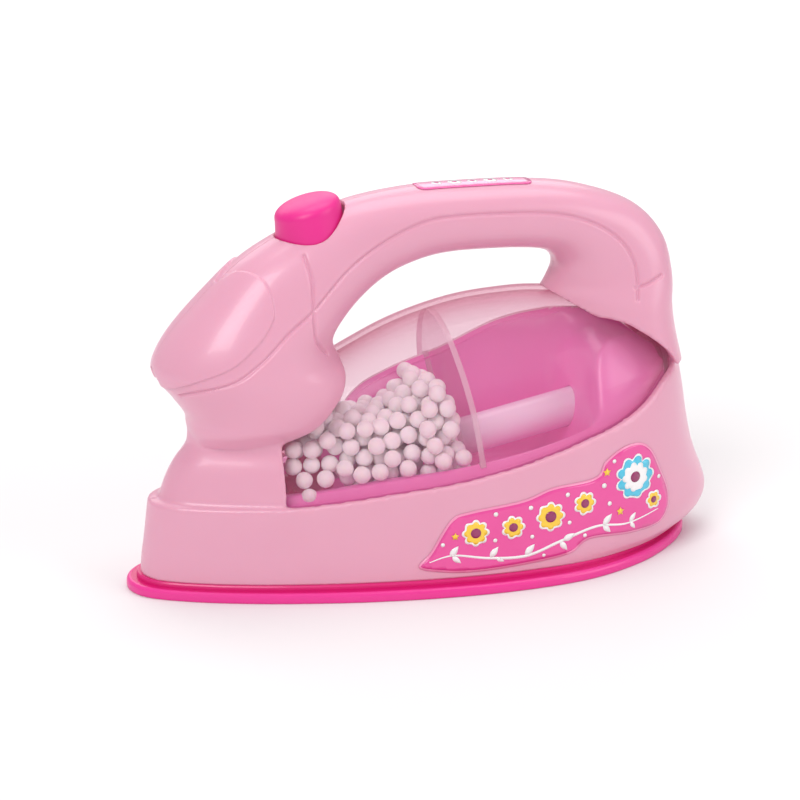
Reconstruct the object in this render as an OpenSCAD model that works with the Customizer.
// Toy iron with a bead tank: a two-part pink housing on a sole plate, with a clear cover
// over a tray, foam beads, a motor-driven paddle and a push button in the handle.
// Millimetres, +Z up. The nose points to -X and the heel to +X.
// The origin is on the table under the middle of the iron.

/* [Overall size] */
// Length from the nose of the sole to the back of the heel
total_l = 120; // [100:1:140]
// Width of the sole plate at its widest
total_w = 50; // [46:1:58]
// Height from the table to the top of the handle
total_h = 75; // [70:1:85]

/* [Housing] */
// Wall of the two housing halves
wall_t = 1.8; // [1.4:0.1:2.2]
// Half width of the handle at mid span
handle_half_w = 7.8; // [7.4:0.1:9]
// Half width of the head behind the nose
head_half_w = 14.2; // [13:0.1:15]
// How far the upper tier of the front column steps in from the tub
tier_step = 1.2; // [0.6:0.1:1.6]

/* [Sole plate] */
// Thickness of the sole plate
sole_t = 2; // [1.6:0.1:2.6]
// Height of the plinth between the sole plate and the housing
plinth_h = 1; // [0.6:0.1:1.6]
// How far the plinth steps in from the edge of the sole plate
plinth_step = 2; // [1.6:0.1:2.6]
// Height of the locating rib that stands inside the housing
sole_rib_h = 1.6; // [1:0.1:2]
// Thickness of the locating rib
sole_rib_t = 1.2; // [1:0.1:1.6]

/* [Clear cover] */
// Wall of the clear cover
cover_t = 1.2; // [1:0.1:1.4]
// How deep the cover reaches below the window rim
cover_tuck = 2.4; // [1.6:0.1:3]

/* [Inner tray] */
// Wall of the inner tray
tray_t = 1.3; // [1:0.1:1.5]
// How far the sill of the tray rises above the window rim
sill_h = 1.4; // [0.8:0.1:2]

/* [Beads] */
// Diameter of a foam bead
bead_d = 3.6; // [3:0.1:4]
// Gap between neighbouring beads
bead_gap = 0.06; // [0.04:0.01:0.3]

/* [Drive] */
// Rise of the drive axis towards the heel, in degrees
drive_rise = 10.3; // [9:0.1:11.5]
// Diameter of the tube around the spindle
sleeve_d = 7.6; // [6.8:0.1:8]
// Wall of that tube
sleeve_t = 0.9; // [0.7:0.1:1.1]
// Diameter of the spindle
spindle_d = 2; // [1.6:0.1:2.4]
// Radial running clearance of the spindle in its bushes
run_gap = 0.05; // [0.03:0.01:0.08]
// Length of each spindle bush
bush_l = 3; // [2:0.1:4]
// Outer radius of the paddle
paddle_r = 7.2; // [6.6:0.1:7.4]
// Length of the paddle hub along the spindle
paddle_l = 9; // [7:0.1:9.5]
// Thickness of a paddle blade
blade_t = 1.2; // [1:0.1:1.6]
// Diameter of the motor case
motor_d = 11.6; // [11:0.1:12]
// Length of the motor case
motor_l = 11.4; // [10.8:0.1:11.6]
// Length of the motor end cap
motor_cap_l = 1.6; // [1.2:0.1:1.9]

/* [Battery bay] */
// Diameter of a cell
cell_d = 10.4; // [10.2:0.1:10.6]
// Length of a cell with its button
cell_l = 44.2; // [43.8:0.1:44.6]
// Length left for the spring behind a cell
cell_spring_l = 3.2; // [2.8:0.1:3.4]
// Wall of the battery case
case_t = 1.1; // [0.9:0.1:1.3]
// Gap around the battery cover in the sole plate
door_gap = 0.25; // [0.15:0.05:0.4]
// Width of the ledge that the battery cover closes against
door_ledge = 1.6; // [1.2:0.1:2]

/* [Button] */
// Radius of the button where it enters the handle
button_r = 6.8; // [6.4:0.1:6.9]
// Radius of the button at its shoulder
button_top_r = 6.4; // [5.8:0.1:6.6]
// Height of the button's shoulder above its place in the handle
button_out = 4.6; // [3.8:0.1:5]
// Rise of the button's round top above its shoulder
button_crown = 3.2; // [2.4:0.1:3.6]
// How far the button travels when pressed
button_travel = 1.6; // [1:0.1:2]
// Gap around the button in the handle
button_gap = 0.3; // [0.25:0.05:0.5]
// Wall of the button's cap
button_wall_t = 1.5; // [1.2:0.1:1.7]
// Diameter of the button's stem
stem_d = 3; // [2.6:0.1:3.4]
// Wire diameter of the button's spring
button_wire_d = 0.45; // [0.35:0.05:0.55]
// Turns of the button's spring
button_turns = 5; // [4:1:6]

/* [Fasteners] */
// Diameter of a screw's shank
screw_d = 2; // [1.8:0.1:2.2]
// Diameter of a screw's head
screw_head_d = 3.8; // [3.4:0.1:4]
// Height of a screw's head
screw_head_h = 1.4; // [1.2:0.1:1.6]
// Diameter of a screw boss
boss_d = 4.8; // [4.4:0.1:5.2]

/* [Labels] */
// Thickness of a label
label_t = 0.2; // [0.15:0.05:0.3]
// Length of the label on the handle
handle_label_l = 23; // [20:0.5:24]
// Width of the label on the handle
handle_label_w = 6; // [5:0.1:6.5]

/* [Hidden] */
$fn = 48;

pink = [0.93, 0.68, 0.78];
magenta = [0.88, 0.16, 0.5];
clear = [0.9, 0.95, 0.95, 0.35];
steel = [0.72, 0.72, 0.74];

half_l = total_l / 2;
half_w = total_w / 2;
base_z = sole_t + plinth_h;
ring_n = 36;
slack = 0.15;
over = 1;
tiny = 0.02;

// Table reading: a smooth curve through rows of [key, value, value, ...]

function seg(tab, k, i = 0) = i >= len(tab) - 2 || k < tab[i + 1][0] ? i : seg(tab, k, i + 1);
function slope(tab, i, c) =
    let (a = max(i - 1, 0), b = min(i + 1, len(tab) - 1))
    (tab[b][c] - tab[a][c]) / (tab[b][0] - tab[a][0]);
function read(tab, key, c = 1) =
    let (k = min(max(key, tab[0][0]), tab[len(tab) - 1][0]), i = seg(tab, k),
        h = tab[i + 1][0] - tab[i][0], t = (k - tab[i][0]) / h,
        m = slope(tab, i, c) * h, n = slope(tab, i + 1, c) * h)
    tab[i][c] * (2 * t ^ 3 - 3 * t ^ 2 + 1) + m * (t ^ 3 - 2 * t ^ 2 + t)
        + tab[i + 1][c] * (3 * t ^ 2 - 2 * t ^ 3) + n * (t ^ 3 - t ^ 2);
function ease(t) = let (c = min(max(t, 0), 1)) c * c * (3 - 2 * c);
function along(s) = (s - 1 / 2) * total_l;

// Solids from rings of points, and from a curved sheet with a thickness

function flat(lists) = [for (l = lists) for (p = l) p];
module loft(rings) {
    n = len(rings[0]);
    m = len(rings);
    sides = [for (j = [0 : m - 2], i = [0 : n - 1]) let (a = j * n + i, b = j * n + (i + 1) % n)
        each [[a, b + n, b], [a, a + n, b + n]]];
    caps = [for (i = [1 : n / 2 - 1]) let (a = i, b = i + 1, c = n - i, d = (n - i - 1) % n, u = (m - 1) * n)
        each concat(
            i == 1 ? [[0, 1, n - 1], [u, u + n - 1, u + 1]] : [],
            i < n / 2 - 1
                ? [[a, b, d], [a, d, c], [u + a, u + d, u + b], [u + a, u + c, u + d]]
                : [[a, b, c], [u + a, u + c, u + b]])];
    polyhedron(points = flat(rings), faces = concat(sides, caps), convexity = 8);
}
function normal_at(g, i, j) =
    let (a = g[max(i - 1, 0)][j], b = g[min(i + 1, len(g) - 1)][j],
        c = g[i][max(j - 1, 0)], d = g[i][min(j + 1, len(g[0]) - 1)], n = cross(b - a, d - c))
    n / norm(n);
module sheet(grid, t) {
    m = len(grid);
    n = len(grid[0]);
    top = flat(grid);
    low = [for (i = [0 : m - 1], j = [0 : n - 1]) grid[i][j] - t * normal_at(grid, i, j)];
    q = m * n;
    skin = [for (i = [0 : m - 2], j = [0 : n - 2]) let (a = i * n + j, b = a + 1, c = a + n, d = c + 1)
        each [[a, d, c], [a, b, d], [q + a, q + c, q + d], [q + a, q + d, q + b]]];
    ends = [for (j = [0 : n - 2]) let (a = j, b = j + 1, c = (m - 1) * n + j, d = c + 1)
        each [[a, q + a, q + b], [a, q + b, b], [c, q + d, q + c], [c, d, q + d]]];
    rims = [for (i = [0 : m - 2]) let (a = i * n, b = a + n, c = i * n + n - 1, d = c + n)
        each [[a, q + b, q + a], [a, b, q + b], [c, q + c, q + d], [c, q + d, d]]];
    polyhedron(points = concat(top, low), faces = concat(skin, ends, rims), convexity = 8);
}

// Outline of the sole: half width as a share of its widest, every fifteen degrees round from the nose

outline_shares = [0, 0.21, 0.375, 0.545, 0.71, 0.856, 0.96, 1, 0.955, 0.78, 0.52, 0.25, 0];
outline_table = [for (i = [0 : len(outline_shares) - 1]) [i * 180 / (len(outline_shares) - 1), outline_shares[i]]];
tail_share = 0.12;
tail_from = 120;
function tail_bulge(a) = a > tail_from ? sin((a - tail_from) * 180 / (180 - tail_from)) : 0;
function outline_half(a, blunt = 0) = read(outline_table, a) + blunt * tail_share * tail_bulge(a);
function plan_ring(z, front, back, half, blunt = 0) = [for (i = [0 : ring_n - 1])
    let (a = i * 360 / ring_n, f = a > 180 ? 360 - a : a, side = a > 180 ? 1 : -1)
    [front + (back - front) * (1 - cos(a)) / 2, side * half * outline_half(f, blunt), z]];
function inset_ring(z, d, front, back, half, blunt = 0) = plan_ring(z, front + d, back - d, half - d, blunt);

// The tub: height, nose, heel and half width as shares of the overall size, and bluntness of the heel

tub_shares = [
    [0.040, 0.0233, 0.9583, 0.896, 0],
    [0.060, 0.0242, 0.9780, 0.900, 0.15],
    [0.087, 0.0258, 0.9933, 0.900, 0.30],
    [0.127, 0.0300, 1.0000, 0.896, 0.45],
    [0.173, 0.0340, 0.9917, 0.892, 0.60],
    [0.220, 0.0380, 0.9790, 0.888, 0.75],
    [0.280, 0.0430, 0.9660, 0.880, 0.90],
    [0.360, 0.0480, 0.9550, 0.865, 1],
    [0.440, 0.0520, 0.9467, 0.840, 1],
    [0.507, 0.0540, 0.9370, 0.810, 1],
    [0.580, 0.0560, 0.9200, 0.770, 1]];
function tub_front(z) = along(read(tub_shares, z / total_h, 1));
function tub_back(z) = along(read(tub_shares, z / total_h, 2));
function tub_half(z) = half_w * read(tub_shares, z / total_h, 3);
function tub_blunt(z) = read(tub_shares, z / total_h, 4);
function tub_ring(z, d = 0) = inset_ring(z, d, tub_front(z), tub_back(z), tub_half(z), tub_blunt(z));
// Half width of the tub's outside at a place along it
function tub_side(x, z) =
    let (s = (x - tub_front(z)) / (tub_back(z) - tub_front(z)), a = acos(1 - 2 * min(max(s, 0), 1)))
    tub_half(z) * outline_half(a, tub_blunt(z));
tub_top = total_h * 0.575;
tub_levels = concat([base_z], [for (r = tub_shares) if (r[0] * total_h > base_z + over && r[0] * total_h < tub_top) r[0] * total_h],
    [tub_top]);

// The tier above the tub's front ledge: height, nose and half width as shares

tier_shares = [
    [0.225, 0.044, 0.850],
    [0.290, 0.059, 0.825],
    [0.333, 0.074, 0.790],
    [0.361, 0.088, 0.750],
    [0.380, 0.095, 0.735],
    [0.406, 0.097, 0.725]];
tier_end_share = 0.96;
function tier_ring(r, d = 0) =
    inset_ring(r[0] * total_h, d, along(r[1]) + tier_step, along(tier_end_share), half_w * r[2], 1);

// The head, handle and rear post: outer and inner edge of each section, as shares of the
// length and height, its half width as a share of the handle's or head's, and its egg shape

rail_shares = [
    [0.112, 0.386, 0.320, 0.386, 0.62, 0],
    [0.107, 0.425, 0.346, 0.425, 0.85, 0],
    [0.104, 0.456, 0.368, 0.463, 0.93, 0],
    [0.083, 0.507, 0.382, 0.507, 0.98, 0],
    [0.062, 0.552, 0.374, 0.549, 1.00, 0],
    [0.058, 0.592, 0.353, 0.585, 1.00, 0],
    [0.082, 0.659, 0.344, 0.632, 0.94, 0],
    [0.133, 0.745, 0.362, 0.687, 0.82, 0],
    [0.200, 0.844, 0.400, 0.747, 0.70, 0],
    [0.279, 0.915, 0.443, 0.791, 0.61, 0],
    [0.366, 0.973, 0.492, 0.817, 0.565, 0],
    [0.467, 0.998, 0.533, 0.827, 0.55, 0],
    [0.567, 1.000, 0.579, 0.828, 0.55, 0],
    [0.687, 0.993, 0.646, 0.824, 0.557, 0],
    [0.770, 0.970, 0.696, 0.813, 0.58, 0.05],
    [0.855, 0.918, 0.719, 0.787, 0.62, 0.1],
    [0.902, 0.840, 0.722, 0.757, 0.68, 0.2],
    [0.918, 0.747, 0.710, 0.722, 0.76, 0.35],
    [0.919, 0.660, 0.692, 0.668, 0.89, 0.45],
    [0.927, 0.580, 0.700, 0.580, 0.99, 0.5],
    [0.937, 0.507, 0.717, 0.507, 1.06, 0.5]];
rail_table = [for (i = [0 : len(rail_shares) - 1]) concat([i], rail_shares[i])];
rail_n = 28;
rail_step = 2 / 3;
section_power = 0.86;
square_to = 0.8;
round_from = 1;
// Narrow sections follow the handle's half width, wide ones the head's
function rail_half(w) =
    let (t = ease((w - 0.55) / 0.45)) w * ((1 - t) * handle_half_w / 0.55 + t * head_half_w);
// Narrow sections are a little square, and wide ones are ellipses
function bulge(c, w) =
    sign(c) * abs(c) ^ (section_power + (1 - section_power) * ease((w - square_to) / (round_from - square_to)));
function rail_ring(k, d = 0) =
    let (o = [along(read(rail_table, k, 1)), total_h * read(rail_table, k, 2)],
        n = [along(read(rail_table, k, 3)), total_h * read(rail_table, k, 4)],
        w = read(rail_table, k, 5), half = rail_half(w) - d, egg = read(rail_table, k, 6),
        mid = (o + n) / 2, reach = (o - n) / 2, arm = reach * (1 - d / norm(reach)))
    [for (i = [0 : rail_n - 1]) let (a = i * 360 / rail_n, p = mid + arm * bulge(cos(a), w))
        [p[0], -half * bulge(sin(a), w) * (1 + egg * cos(a)) / (1 + egg * egg / 2), p[1]]];
rail_last = len(rail_shares) - 1;
rail_keys = [for (k = [0 : rail_step : rail_last + tiny]) k];

// The window in each side, from the front corner back along the rim to the tip and forward
// again under the rear post, as shares of the length and height

rim_shares = [
    [0.225, 0.237],
    [0.320, 0.252],
    [0.408, 0.270],
    [0.505, 0.288],
    [0.608, 0.319],
    [0.712, 0.360],
    [0.781, 0.394],
    [0.835, 0.432],
    [0.878, 0.475],
    [0.912, 0.497]];
brow_shares = [
    [0.905, 0.513],
    [0.885, 0.537],
    [0.858, 0.569],
    [0.830, 0.607],
    [0.803, 0.638],
    [0.744, 0.662],
    [0.690, 0.672],
    [0.640, 0.700]];
function rim_z(x) = total_h * read(rim_shares, x / total_l + 1 / 2);
function rim_inner(x, d) = tub_side(x, rim_z(x)) - wall_t - d;
rim_points = [for (s = [0.225 : 0.0229 : 0.912]) [along(s), total_h * read(rim_shares, s)]];
brow_points = [for (p = brow_shares) [along(p[0]), total_h * p[1]]];
ledge_z = total_h * 0.238;
ledge_x = along(0.228);
column_back = along(0.24);

module side_prism(points, half) {
    translate([0, half, 0])
        rotate([90, 0, 0])
        linear_extrude(height = 2 * half)
        polygon(points);
}

// The clear cover: crest of the dome as shares of the length and height

crest_shares = [
    [0.205, 0.330],
    [0.225, 0.412],
    [0.262, 0.478],
    [0.300, 0.530],
    [0.346, 0.581],
    [0.383, 0.611],
    [0.442, 0.652],
    [0.501, 0.681],
    [0.562, 0.701],
    [0.622, 0.709],
    [0.692, 0.709],
    [0.770, 0.690],
    [0.830, 0.650],
    [0.875, 0.602],
    [0.905, 0.560]];
function crest_z(x) = total_h * read(crest_shares, x / total_l + 1 / 2);
cover_from = along(0.215);
cover_to = along(0.903);
cover_cols = 22;
cover_rows = 14;
cover_gap = 0.6 * slack;
// Points of the dome across a section: a short upright flange on each side, then an arch
function cover_point(x, v, d) =
    let (half = rim_inner(x, slack) - d, low = rim_z(x), top = crest_z(x) - d, a = v * 180)
    [x, -half * cos(a), low + (top - low) * sin(a)];
function cover_row(x, d = 0) = concat(
    [[x, -(rim_inner(x, slack) - d), rim_z(x) - cover_tuck]],
    [for (j = [0 : cover_rows]) cover_point(x, j / cover_rows, d)],
    [[x, rim_inner(x, slack) - d, rim_z(x) - cover_tuck]]);
function cover_x(i) = cover_from + (cover_to - cover_from) * (1 - cos(i * 180 / cover_cols)) / 2;
function cover_grid(d = 0) = [for (i = [0 : cover_cols]) cover_row(cover_x(i), d)];
// The room that the housing leaves for the cover
function cover_ring(x, d, shift = 0) = [for (p = concat([[x, 0, rim_z(x) - cover_tuck - slack]], cover_row(x, d)))
    p + [shift, 0, 0]];
module cover_room() {
    loft(concat([cover_ring(cover_to, -cover_gap, 2 * slack)],
        [for (i = [cover_cols : -1 : 0]) cover_ring(cover_x(i), -cover_gap)],
        [cover_ring(cover_from, -cover_gap, -2 * slack)]));
}

// The drive axis rises towards the heel, and its pieces are placed along it

axis_x = half_l * 0.225;
axis_z = total_h * 0.3253;
function axis_height(x) = axis_z + (x - axis_x) * tan(drive_rise);
module on_axis(x) {
    translate([x, 0, axis_height(x)])
        rotate([0, 90 - drive_rise, 0])
        children();
}
// Length along the axis between two places, and a point's distance along it and from it
function axis_length(from, to) = (to - from) / cos(drive_rise);
function axis_run(p, x) = (p[0] - x) * cos(drive_rise) + (p[2] - axis_height(x)) * sin(drive_rise);
function axis_off(p) = norm([p[1], (p[2] - axis_height(p[0])) * cos(drive_rise)]);
paddle_x = along(0.302);
paddle_tip_r = paddle_l * 0.4;
hub_d = 2.4 * spindle_d;
press_gap = 0.02;
sleeve_x = along(0.54);
sleeve_end_x = along(0.7725);
coupling_x = along(0.778);
motor_x = along(0.803);
motor_boss_d = 0.4 * motor_d;
motor_boss_l = 0.08 * motor_l;
coupling_d = 2.2 * spindle_d;
coupling_l = axis_length(coupling_x, motor_x) - motor_boss_l - 2 * slack;
shaft_in_motor = 0.6 * motor_l;
terminal_w = 0.2 * motor_d;
partition_x = along(0.5505);
partition_t = 1.2;

// The tray: height of its floor along the middle, and of the wall behind it, as shares

floor_shares = [
    [0.238, 0.240],
    [0.262, 0.165],
    [0.285, 0.118],
    [0.388, 0.118],
    [0.402, 0.176],
    [0.416, 0.216],
    [0.700, 0.222],
    [0.737, 0.250],
    [0.766, 0.490],
    [0.790, 0.555],
    [0.830, 0.570],
    [0.860, 0.555],
    [0.898, 0.522]];
back_shares = [
    [0.238, 0.250],
    [0.330, 0.275],
    [0.400, 0.420],
    [0.460, 0.470],
    [0.565, 0.521],
    [0.650, 0.575],
    [0.715, 0.597],
    [0.790, 0.600],
    [0.830, 0.583],
    [0.860, 0.556],
    [0.898, 0.515]];
// Where across the tray its floor starts to fall and where it is level, as shares of its half width
fall_shares = [
    [0.238, 0.66, 0.30],
    [0.300, 0.70, 0.56],
    [0.400, 0.70, 0.56],
    [0.480, 0.80, 0.56],
    [0.600, 0.90, 0.50],
    [0.740, 0.94, 0.50],
    [0.898, 0.96, 0.10]];
tray_from = along(0.243);
tray_to = along(0.893);
tray_cols = 28;
tray_rows = 24;
back_y_share = 0.62;
back_spread_share = 0.15;
sill_share = 0.16;
sill_fall_share = 0.3;
sill_fall = 0.4;
side_crowding = 0.12;
function tray_half(x) =
    (rim_inner(x, 3 * slack) - cover_t) * sqrt(1 - (sill_h / (crest_z(x) - cover_t - rim_z(x))) ^ 2);
function tray_z(x, y) =
    let (s = x / total_l + 1 / 2, half = tray_half(x), r = abs(y) / half,
        outer = read(fall_shares, s, 1), inner = read(fall_shares, s, 2),
        sill = ease((1 - r) / sill_share) - sill_fall * ease((1 - sill_share - r) / sill_fall_share),
        lip = rim_z(x) - tray_t / 2 + sill_h * sill,
        level = total_h * read(floor_shares, s), g = ease((outer - r) / (outer - inner)),
        ground = lip + (level - lip) * g,
        crest = total_h * read(back_shares, s),
        b = (y / half - back_y_share) / back_spread_share)
    ground + max(crest - ground, 0) * exp(-b * b);
function tray_y(x, v) = let (s = 2 * v - 1) tray_half(x) * (s + side_crowding * sin(180 * s));
tray_grid = [for (i = [0 : tray_cols]) let (x = tray_from + (tray_to - tray_from) * i / tray_cols)
    [for (j = [0 : tray_rows]) let (y = tray_y(x, j / tray_rows)) [x, y, tray_z(x, y)]]];

// The clear partition stands square to the drive axis and follows the cover and the tray

partition_side_share = 0.93;
partition_steps = 30;
function cover_z(x, y, d) =
    let (half = rim_inner(x, slack) - d, low = rim_z(x))
    low + (crest_z(x) - d - low) * sqrt(max(1 - (y / half) ^ 2, 0));
function lean_x(z) = partition_x - (z - axis_height(partition_x)) * tan(drive_rise);
function settle(y, high, x = partition_x, turns = 4) =
    let (z = high ? cover_z(x, y, cover_t + 2 * slack) : tray_z(x, y) + 6 * slack)
    turns == 0 ? z : settle(y, high, lean_x(z), turns - 1);
function partition_point(share, high) =
    let (y = share * partition_side_share * tray_half(partition_x), z = settle(y, high))
    [(axis_height(partition_x) - z) / cos(drive_rise), y];
partition_outline = concat(
    [for (i = [0 : partition_steps]) partition_point(2 * i / partition_steps - 1, true)],
    [for (i = [partition_steps : -1 : 0]) partition_point(2 * i / partition_steps - 1, false)]);

// Foam beads: close-packed places that lie on the tray, inside the cover and clear of the drive

pile_shares = [
    [0.230, 0.420],
    [0.350, 0.455],
    [0.394, 0.440],
    [0.444, 0.460],
    [0.484, 0.520],
    [0.511, 0.505],
    [0.535, 0.470],
    [0.560, 0.410]];
pile_fall = 0.15;
bead_far_y = half_w * 0.32;
bead_r = bead_d / 2;
bead_step = bead_d + bead_gap;
bead_layer = bead_step * sqrt(2 / 3);
bead_row = bead_step * sqrt(3) / 2;
bead_probe = 0.8;
bead_from = [along(0.245), -half_w * 0.68, total_h * 0.14];
bead_skin = 2 * bead_d;
near_y = -half_w * 0.16;
function pile_z(x, y) = total_h * read(pile_shares, x / total_l + 1 / 2) - pile_fall * abs(y - near_y);
function over_tray(p) = min([for (d = [[0, 0], [1, 0], [-1, 0], [0, 1], [0, -1]])
    p[2] - bead_r * sqrt(1 - bead_probe * bead_probe * norm(d)) - 2 * slack
        - tray_z(p[0] + d[0] * bead_r * bead_probe, p[1] + d[1] * bead_r * bead_probe)]) > 0;
function under_cover(p) = min([for (dx = [-bead_r, 0, bead_r], k = [0, 1])
    cover_z(p[0] + dx, abs(p[1]) + bead_r * (k == 0 ? 1 : bead_probe), cover_t + slack)
        - p[2] - bead_r * (k == 0 ? 0 : sqrt(1 - bead_probe * bead_probe))]) > 0;
function clear_of_drive(p) =
    let (run = axis_run(p, paddle_x), off = axis_off(p), room = bead_r + 2 * slack)
    off > spindle_d / 2 + room
        && (abs(run) > paddle_l / 2 + room || off > paddle_r + room)
        && (axis_run(p, sleeve_x) < -room || off > sleeve_d / 2 + room)
        && axis_run(p, partition_x) < -room;
function in_sight(p) = p[1] < near_y || p[2] > pile_z(p[0], p[1]) - bead_skin;
bead_places = [for (k = [0 : 9], j = [0 : 10], i = [0 : 11])
    let (p = bead_from + [(i + (j % 2) / 2 + (k % 2) / 2) * bead_step, (j + (k % 2) / 3) * bead_row, k * bead_layer])
    if (p[2] + bead_r < pile_z(p[0], p[1]) && p[1] < bead_far_y && in_sight(p)
        && over_tray(p) && under_cover(p) && clear_of_drive(p)) p];

// The button: its place on the handle and its axis, which leans forward

button_x = along(0.315);
button_z = total_h * 0.8953;
button_lean = 8;
module on_button() {
    translate([button_x, 0, button_z])
        rotate([0, -button_lean, 0])
        children();
}
button_skirt = 3;
crown_steps = 6;
pocket_z = button_out - button_wall_t;
stem_end_z = -2.7;
switch_stem_h = 0.8;
switch_z = stem_end_z - button_travel - 0.1 - switch_stem_h;
switch_h = 2.2;
switch_l = 5;
switch_stem_d = 2.4;
board_z = switch_z - switch_h;
board_t = 1;
board_l = 12;
board_w = 9.6;
shelf_w = 1.4;
button_spring_r = 4.3;
coil_steps = 12;
coil_sides = 6;

// Battery bay, under the tray

bay_x = along(0.44);
plate_t = 0.4;
cell_gap = 0.4;
bay_l = cell_l + cell_spring_l + 2 * plate_t;
bay_w = 2 * cell_d + 3 * cell_gap;
cell_z = sole_t + 0.7 + cell_d / 2;
cell_y = cell_d / 2 + cell_gap / 2;
cell_cap_d = 0.37 * cell_d;
cell_cap_l = 1;
case_top = cell_z + cell_d / 2 + cell_gap + case_t;
door_r = 2;
contact_w = cell_d * 0.6;
cell_wire_d = 0.7;
cell_coil_r = 2.6;
cell_turns = 3;
door_screw_x = bay_x + bay_l + door_ledge + 2.6;

// Screws: the housing screws enter from the far side, the others from below

// Place along and up, and how far from the middle the head seats
housing_screw_shares = [[0.155, 0.300, 0.24], [0.9633, 0.127, 0.2], [0.727, 0.907, 0.17], [0.872, 0.74, 0.26]];
housing_screw_l = 8;
sole_screw_shares = [[0.133, 0.27], [0.133, -0.27], [0.683, 0.76], [0.683, -0.76]];
sole_screw_l = 6.4;
head_gap = 0.3;
head_sink = 0.2;
thread_gap = 0.03;
drive_slot = 0.25;
boss_depth = 0.8;
far_boss_d = boss_d + 1.2;

// Labels

label_top = total_h * 0.9907;
label_x = along(0.5815);
label_r = 1.4;
label_gap = 0.2;
side_label_shares = [
    [0.436, 0.076], [0.466, 0.060], [0.530, 0.052], [0.640, 0.062], [0.690, 0.074], [0.724, 0.104],
    [0.800, 0.097], [0.856, 0.102], [0.877, 0.140], [0.877, 0.192], [0.860, 0.255], [0.842, 0.310],
    [0.818, 0.338], [0.784, 0.336], [0.751, 0.306], [0.733, 0.268], [0.658, 0.258], [0.607, 0.234],
    [0.520, 0.216], [0.488, 0.196], [0.456, 0.114]];
label_count = len(side_label_shares);
label_substeps = 4;
function ring_of(tab, k, c) = tab[(k + len(tab)) % len(tab)][c];
function round_curve(tab, k, t, c) =
    let (a = ring_of(tab, k - 1, c), b = ring_of(tab, k, c), d = ring_of(tab, k + 1, c), e = ring_of(tab, k + 2, c))
    b + t * (d - a) / 2 + t * t * (2 * a - 5 * b + 4 * d - e) / 2 + t * t * t * (3 * b - a - 3 * d + e) / 2;
side_label_outline = [for (k = [0 : label_count - 1], i = [0 : label_substeps - 1])
    [along(round_curve(side_label_shares, k, i / label_substeps, 0)),
        total_h * round_curve(side_label_shares, k, i / label_substeps, 1)]];

module rounded(l, w, r) {
    square([l - 2 * r, w], center = true);
    square([l, w - 2 * r], center = true);
    for (i = [-1, 1], j = [-1, 1])
        translate([i * (l / 2 - r), j * (w / 2 - r)])
            circle(r);
}
// A coil of wire round the z axis, its radius going from one end's to the other's
module coil(r1, r2, h, turns, wire) {
    steps = turns * coil_steps;
    loft([for (k = [0 : steps])
        let (a = k * 360 / coil_steps, r = r1 + (r2 - r1) * k / steps, z = h * k / steps)
        [for (i = [0 : coil_sides - 1])
            let (b = -i * 360 / coil_sides, q = r + wire / 2 * cos(b))
            [q * cos(a), q * sin(a), z + wire / 2 * sin(b)]]]);
}
// A screw with its head below z = 0 and its shank above
module screw(l) {
    difference() {
        translate([0, 0, -screw_head_h])
            cylinder(d = screw_head_d, h = screw_head_h);
        for (a = [0, 90])
            rotate(a)
                translate([-screw_head_d / 3, -screw_head_d / 14, -screw_head_h - over])
                cube([screw_head_d / 1.5, screw_head_d / 7, screw_head_h / 2 + over]);
    }
    cylinder(d = screw_d, h = l - screw_d / 2);
    translate([0, 0, l - screw_d / 2])
        cylinder(d1 = screw_d, d2 = screw_d / 3, h = screw_d / 2);
}
module at_housing_screws() {
    for (s = housing_screw_shares)
        translate([along(s[0]), half_w * s[2], total_h * s[1]])
            rotate([90, 0, 0])
            children();
}
module at_sole_screws() {
    for (s = sole_screw_shares)
        translate([along(s[0]), half_w * s[1], screw_head_h + head_sink])
            children();
}

module front_block(drop) {
    side_prism([[-total_l, ledge_z - drop], [ledge_x, ledge_z - drop], [ledge_x, total_h], [-total_l, total_h]], total_w);
}
module window() {
    side_prism(concat(rim_points, brow_points, [[rim_points[0][0], brow_points[len(brow_points) - 1][1]]]), total_w);
}
// The tub stops at the window and the post at the window's upper edge, but the head reaches
// over the window and rests on the cover
module outside() {
    difference() {
        loft([for (z = tub_levels) tub_ring(z)]);
        front_block(0);
        window();
    }
    intersection() {
        loft([for (r = tier_shares) tier_ring(r)]);
        translate([-total_l, -total_w, 0])
            cube([total_l + column_back, 2 * total_w, total_h]);
    }
    difference() {
        loft([for (k = rail_keys) rail_ring(k)]);
        intersection() {
            window();
            translate([0, -total_w, 0])
                cube([total_l, 2 * total_w, total_h]);
        }
    }
}
module hollow() {
    difference() {
        loft(concat([[for (p = tub_ring(base_z, wall_t)) p - [0, 0, over]]],
            [for (z = tub_levels) if (z > base_z && z < tub_top) tub_ring(z, wall_t)]));
        front_block(wall_t);
        side_prism([[ledge_x - over, rim_z(ledge_x) + over], [0, rim_z(0) + over], [0, total_h], [ledge_x - over, total_h]],
            total_w);
    }
    intersection() {
        loft(concat([[for (p = tier_ring(tier_shares[0], wall_t)) p - [0, 0, 3 * wall_t]]],
            [for (r = tier_shares) [for (p = tier_ring(r, wall_t)) p - [0, 0, wall_t]]]));
        translate([-total_l, -total_w, 0])
            cube([total_l + column_back + over, 2 * total_w, total_h]);
    }
    loft(concat([[for (p = rail_ring(0, wall_t)) p - [0, 0, 2 * wall_t]]], [for (k = rail_keys) rail_ring(k, wall_t)]));
}
module half_space(side) {
    translate([-total_l, side > 0 ? 0 : -total_w, -over])
        cube([2 * total_l, total_w, total_h + 2 * over]);
}
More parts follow.
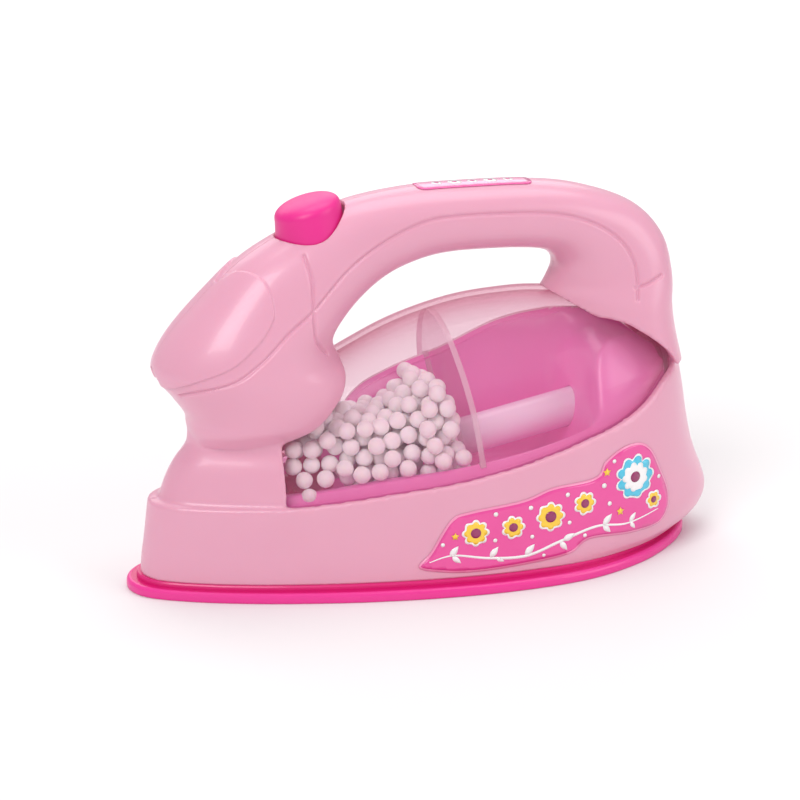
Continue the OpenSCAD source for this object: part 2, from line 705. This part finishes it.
module bosses(side) {
    for (s = housing_screw_shares)
        translate([along(s[0]), side > 0 ? half_w : 0, total_h * s[1]])
            rotate([90, 0, 0])
            cylinder(d = side > 0 ? far_boss_d : boss_d, h = half_w);
    for (s = sole_screw_shares)
        if (sign(s[1]) == side)
            translate([along(s[0]), half_w * s[1], base_z])
                cylinder(d = boss_d, h = sole_screw_l - base_z + screw_head_h + head_sink + boss_depth);
    on_button()
        translate([-board_l / 2, side > 0 ? board_w / 2 - shelf_w : -half_w, board_z - board_t - shelf_w - slack])
        cube([board_l, half_w - board_w / 2 + shelf_w, shelf_w]);
}
module screw_holes(side) {
    for (s = housing_screw_shares)
        translate([along(s[0]), side > 0 ? half_w * s[2] : 0, total_h * s[1]])
            rotate([90, 0, 0]) {
                translate([0, 0, -over])
                    cylinder(d = screw_d + 2 * (side > 0 ? slack : thread_gap), h = housing_screw_l + over);
                if (side > 0)
                    translate([0, 0, -half_w])
                        cylinder(d = screw_head_d + 2 * head_gap, h = half_w);
            }
    at_sole_screws()
        cylinder(d = screw_d + 2 * thread_gap, h = sole_screw_l + slack);
}
module body_half(side) {
    color(pink)
        difference() {
            intersection() {
                difference() {
                    outside();
                    difference() {
                        hollow();
                        bosses(side);
                    }
                }
                half_space(side);
            }
            cover_room();
            screw_holes(side);
            on_button()
                translate([0, 0, -button_skirt - button_travel - 2 * slack])
                cylinder(r = button_r + button_gap, h = total_h);
            translate([label_x, 0, label_top - label_t])
                linear_extrude(height = over)
                rounded(handle_label_l + 2 * label_gap, handle_label_w + 2 * label_gap, label_r + label_gap);
        }
}
module body_left() { body_half(-1); }
module body_right() { body_half(1); }

module plan_plate(ring, h) {
    linear_extrude(height = h)
        polygon([for (p = ring) [p[0], p[1]]]);
}
module door_shape(grow) {
    translate([bay_x + bay_l / 2, 0])
        rounded(bay_l + 2 * door_ledge + 2 * grow, bay_w + 2 * door_ledge + 2 * grow, door_r + grow);
    translate([door_screw_x, 0])
        circle(r = boss_d / 2 + door_gap + grow);
}
module sole_plate() {
    heel = along(0.9625);
    color(magenta)
        difference() {
            union() {
                plan_plate(plan_ring(0, -half_l, heel, half_w), sole_t);
                translate([0, 0, sole_t - tiny])
                    plan_plate(plan_ring(0, -half_l + plinth_step, heel - plinth_step, half_w - plinth_step), plinth_h + tiny);
                translate([0, 0, base_z - tiny])
                    difference() {
                        plan_plate(tub_ring(base_z, wall_t + 2 * slack), sole_rib_h);
                        translate([0, 0, -over])
                            plan_plate(tub_ring(base_z, wall_t + 2 * slack + sole_rib_t), sole_rib_h + 2 * over);
                    }
            }
            translate([0, 0, -over])
                linear_extrude(height = sole_t + over)
                door_shape(door_gap);
            translate([bay_x, -bay_w / 2, 0])
                cube([bay_l, bay_w, base_z + over]);
            translate([door_screw_x, 0, 0])
                cylinder(d = screw_d + 2 * thread_gap, h = base_z + over);
            at_sole_screws() {
                translate([0, 0, -total_h])
                    cylinder(d = screw_head_d + 2 * head_gap, h = total_h);
                cylinder(d = screw_d + 2 * slack, h = total_h);
                translate([0, 0, base_z - screw_head_h - head_sink])
                    cylinder(d = boss_d + 2 * slack, h = total_h);
            }
            translate([bay_x, 0, base_z])
                linear_extrude(height = total_h)
                translate([bay_l / 2, 0])
                square([bay_l + 2 * case_t + 2 * slack, bay_w + 2 * case_t + 2 * slack], center = true);
        }
}
module battery_cover() {
    color(magenta)
        difference() {
            linear_extrude(height = sole_t)
                door_shape(0);
            translate([door_screw_x, 0, -over])
                cylinder(d = screw_d + 2 * slack, h = sole_t + 2 * over);
            translate([door_screw_x, 0, -over])
                cylinder(d = screw_head_d + 2 * head_gap, h = screw_head_h + head_sink + over);
        }
}
module battery_cover_screw() {
    color(steel)
        translate([door_screw_x, 0, screw_head_h + head_sink])
        screw(sole_screw_l);
}
module battery_case() {
    post_l = sole_screw_l + screw_head_h + head_sink + boss_depth - base_z;
    color("dimgray")
        difference() {
            union() {
                translate([bay_x - case_t, -bay_w / 2 - case_t, base_z + tiny])
                    cube([bay_l + 2 * case_t, bay_w + 2 * case_t, case_top - base_z - tiny]);
                translate([door_screw_x, 0, base_z + tiny])
                    cylinder(d = boss_d, h = post_l);
                translate([bay_x + bay_l, -case_t, base_z + tiny])
                    cube([door_screw_x - bay_x - bay_l, 2 * case_t, post_l]);
            }
            translate([bay_x, -bay_w / 2, base_z - over])
                cube([bay_l, bay_w, case_top - case_t - base_z + over]);
            translate([door_screw_x, 0, base_z - over])
                cylinder(d = screw_d + 2 * thread_gap, h = post_l - boss_depth + over);
        }
}
module cell() {
    cylinder(d = cell_d, h = cell_l - cell_cap_l);
    cylinder(d = cell_cap_d, h = cell_l);
}
module each_bay_end() {
    for (side = [-1, 1])
        translate([bay_x + bay_l / 2, side * cell_y, cell_z])
            rotate([0, 0, side > 0 ? 0 : 180])
            translate([-bay_l / 2, 0, 0])
            children();
}
module batteries() {
    color("goldenrod")
        each_bay_end()
        translate([plate_t + cell_spring_l - 3 * tiny, 0, 0])
        rotate([0, 90, 0])
        cell();
}
module battery_springs() {
    color(steel)
        each_bay_end() {
            translate([tiny, -contact_w / 2, -contact_w / 2])
                cube([plate_t, contact_w, contact_w]);
            translate([plate_t + cell_wire_d / 2 - tiny, 0, 0])
                rotate([0, 90, 0])
                coil(cell_coil_r, cell_coil_r * 0.7, cell_spring_l - cell_wire_d - slack, cell_turns, cell_wire_d);
        }
}
module battery_contacts() {
    color(steel)
        each_bay_end()
        translate([bay_l - plate_t - tiny, -contact_w / 2, -contact_w / 2])
        cube([plate_t, contact_w, contact_w]);
}
module tank_cover() {
    color(clear)
        sheet(cover_grid(), cover_t);
}
module inner_tray() {
    color(magenta)
        difference() {
            sheet(tray_grid, tray_t);
            on_axis(partition_x)
                cylinder(d = sleeve_d + 2 * slack, h = axis_length(partition_x, coupling_x));
        }
}
module tank_partition() {
    color(clear)
        difference() {
            on_axis(partition_x)
                linear_extrude(height = partition_t)
                polygon(partition_outline);
            on_axis(partition_x)
                translate([0, 0, -over])
                cylinder(d = sleeve_d + 2 * slack, h = partition_t + 2 * over);
        }
}
module foam_beads() {
    color("white")
        for (p = bead_places)
            translate(p)
                sphere(d = bead_d);
}
module agitator() {
    color([0.95, 0.5, 0.68])
        on_axis(paddle_x)
        difference() {
            union() {
                cylinder(d = hub_d, h = paddle_l, center = true);
                for (a = [0 : 90 : 270])
                    rotate([90, 0, a])
                        translate([0, 0, -blade_t / 2])
                        linear_extrude(height = blade_t) {
                            translate([paddle_r - paddle_tip_r, 0])
                                circle(paddle_tip_r);
                            translate([0, -paddle_tip_r])
                                square([paddle_r - paddle_tip_r, 2 * paddle_tip_r]);
                        }
            }
            cylinder(d = spindle_d + 2 * press_gap, h = paddle_l + 2 * over, center = true);
        }
}
module drive_spindle() {
    from = paddle_x - paddle_l * 0.62;
    color(steel)
        on_axis(from)
        cylinder(d = spindle_d, h = axis_length(from, motor_x) + shaft_in_motor);
}
module shaft_coupling() {
    color("white")
        on_axis(coupling_x)
        difference() {
            cylinder(d = coupling_d, h = coupling_l);
            translate([0, 0, -over])
                cylinder(d = spindle_d + 2 * press_gap, h = coupling_l + 2 * over);
        }
}
module spindle_sleeve() {
    l = axis_length(sleeve_x, sleeve_end_x);
    color([0.96, 0.9, 0.92])
        on_axis(sleeve_x)
        difference() {
            cylinder(d = sleeve_d, h = l);
            translate([0, 0, -over])
                cylinder(d = sleeve_d - 2 * sleeve_t, h = l + 2 * over);
        }
}
module spindle_bushes() {
    l = axis_length(sleeve_x, sleeve_end_x);
    color("white")
        on_axis(sleeve_x)
        for (z = [0, l - bush_l])
            translate([0, 0, z])
                difference() {
                    cylinder(d = sleeve_d - 2 * sleeve_t - 2 * press_gap, h = bush_l);
                    translate([0, 0, -over])
                        cylinder(d = spindle_d + 2 * run_gap, h = bush_l + 2 * over);
                }
}
module motor_case() {
    color("silver")
        on_axis(motor_x)
        difference() {
            union() {
                cylinder(d = motor_d, h = motor_l);
                translate([0, 0, -motor_boss_l])
                    cylinder(d = motor_boss_d, h = motor_boss_l + tiny);
            }
            translate([0, 0, -motor_boss_l - over])
                cylinder(d = spindle_d + 2 * run_gap, h = motor_boss_l + over + shaft_in_motor + slack);
        }
}
module motor_end_cap() {
    color("white")
        on_axis(motor_x)
        translate([0, 0, motor_l]) {
            cylinder(d = motor_d, h = motor_cap_l);
            for (side = [-1, 1])
                translate([-terminal_w / 2, side * motor_d / 3 - plate_t / 2, motor_cap_l - tiny])
                    cube([terminal_w, plate_t, motor_cap_l / 2]);
        }
}
module motor_bracket() {
    from = motor_x + motor_l * 0.12;
    color("dimgray")
        difference() {
            translate([from, -motor_d / 2 - case_t, case_top + tiny])
                cube([bay_x + bay_l - from, motor_d + 2 * case_t, axis_height(from) - case_top]);
            on_axis(motor_x - motor_l)
                cylinder(d = motor_d + 2 * slack, h = 3 * motor_l);
        }
}
module power_button() {
    color(magenta)
        on_button() {
            difference() {
                rotate_extrude()
                    polygon(concat([[0, -button_skirt], [button_r, -button_skirt], [button_r, 0]],
                        [for (i = [0 : crown_steps]) let (a = i * 90 / crown_steps)
                            [i == crown_steps ? 0 : button_top_r * cos(a), button_out + button_crown * sin(a)]]));
                translate([0, 0, -button_skirt - over])
                    cylinder(r = button_r - button_wall_t, h = pocket_z + button_skirt + over);
            }
            translate([0, 0, stem_end_z])
                cylinder(d = stem_d, h = pocket_z - stem_end_z + tiny);
        }
}
module button_spring() {
    h = pocket_z - board_z - button_wire_d;
    color(steel)
        on_button()
        translate([0, 0, board_z + button_wire_d / 2])
        coil(button_spring_r, button_spring_r, h, button_turns, button_wire_d);
}
module switch_board() {
    color("darkgreen")
        on_button()
        translate([-board_l / 2, -board_w / 2, board_z - board_t])
        cube([board_l, board_w, board_t - tiny]);
}
module tact_switch() {
    color("black")
        on_button()
        translate([0, 0, board_z]) {
            translate([-switch_l / 2, -switch_l / 2, 0])
                cube([switch_l, switch_l, switch_h]);
            cylinder(d = switch_stem_d, h = switch_h + switch_stem_h);
        }
}
module housing_screws() {
    color(steel)
        at_housing_screws()
        screw(housing_screw_l - boss_depth);
}
module sole_screws() {
    color(steel)
        at_sole_screws()
        screw(sole_screw_l);
}
module side_label() {
    color(magenta)
        intersection() {
            difference() {
                loft([for (z = tub_levels) tub_ring(z, -label_t - tiny)]);
                loft(concat([[for (p = tub_ring(base_z, -tiny)) p - [0, 0, over]]],
                    [for (z = tub_levels) tub_ring(z, -tiny)]));
            }
            side_prism(side_label_outline, total_w);
            half_space(-1);
        }
}
module handle_label() {
    color(magenta)
        translate([label_x, 0, label_top - label_t + tiny])
        linear_extrude(height = label_t)
        rounded(handle_label_l, handle_label_w, label_r);
}

body_left();
body_right();
sole_plate();
tank_cover();
inner_tray();
tank_partition();
foam_beads();
agitator();
drive_spindle();
spindle_sleeve();
spindle_bushes();
motor_case();
motor_end_cap();
motor_bracket();
shaft_coupling();
batteries();
battery_case();
battery_springs();
battery_contacts();
battery_cover();
battery_cover_screw();
power_button();
button_spring();
switch_board();
tact_switch();
housing_screws();
sole_screws();
side_label();
handle_label();
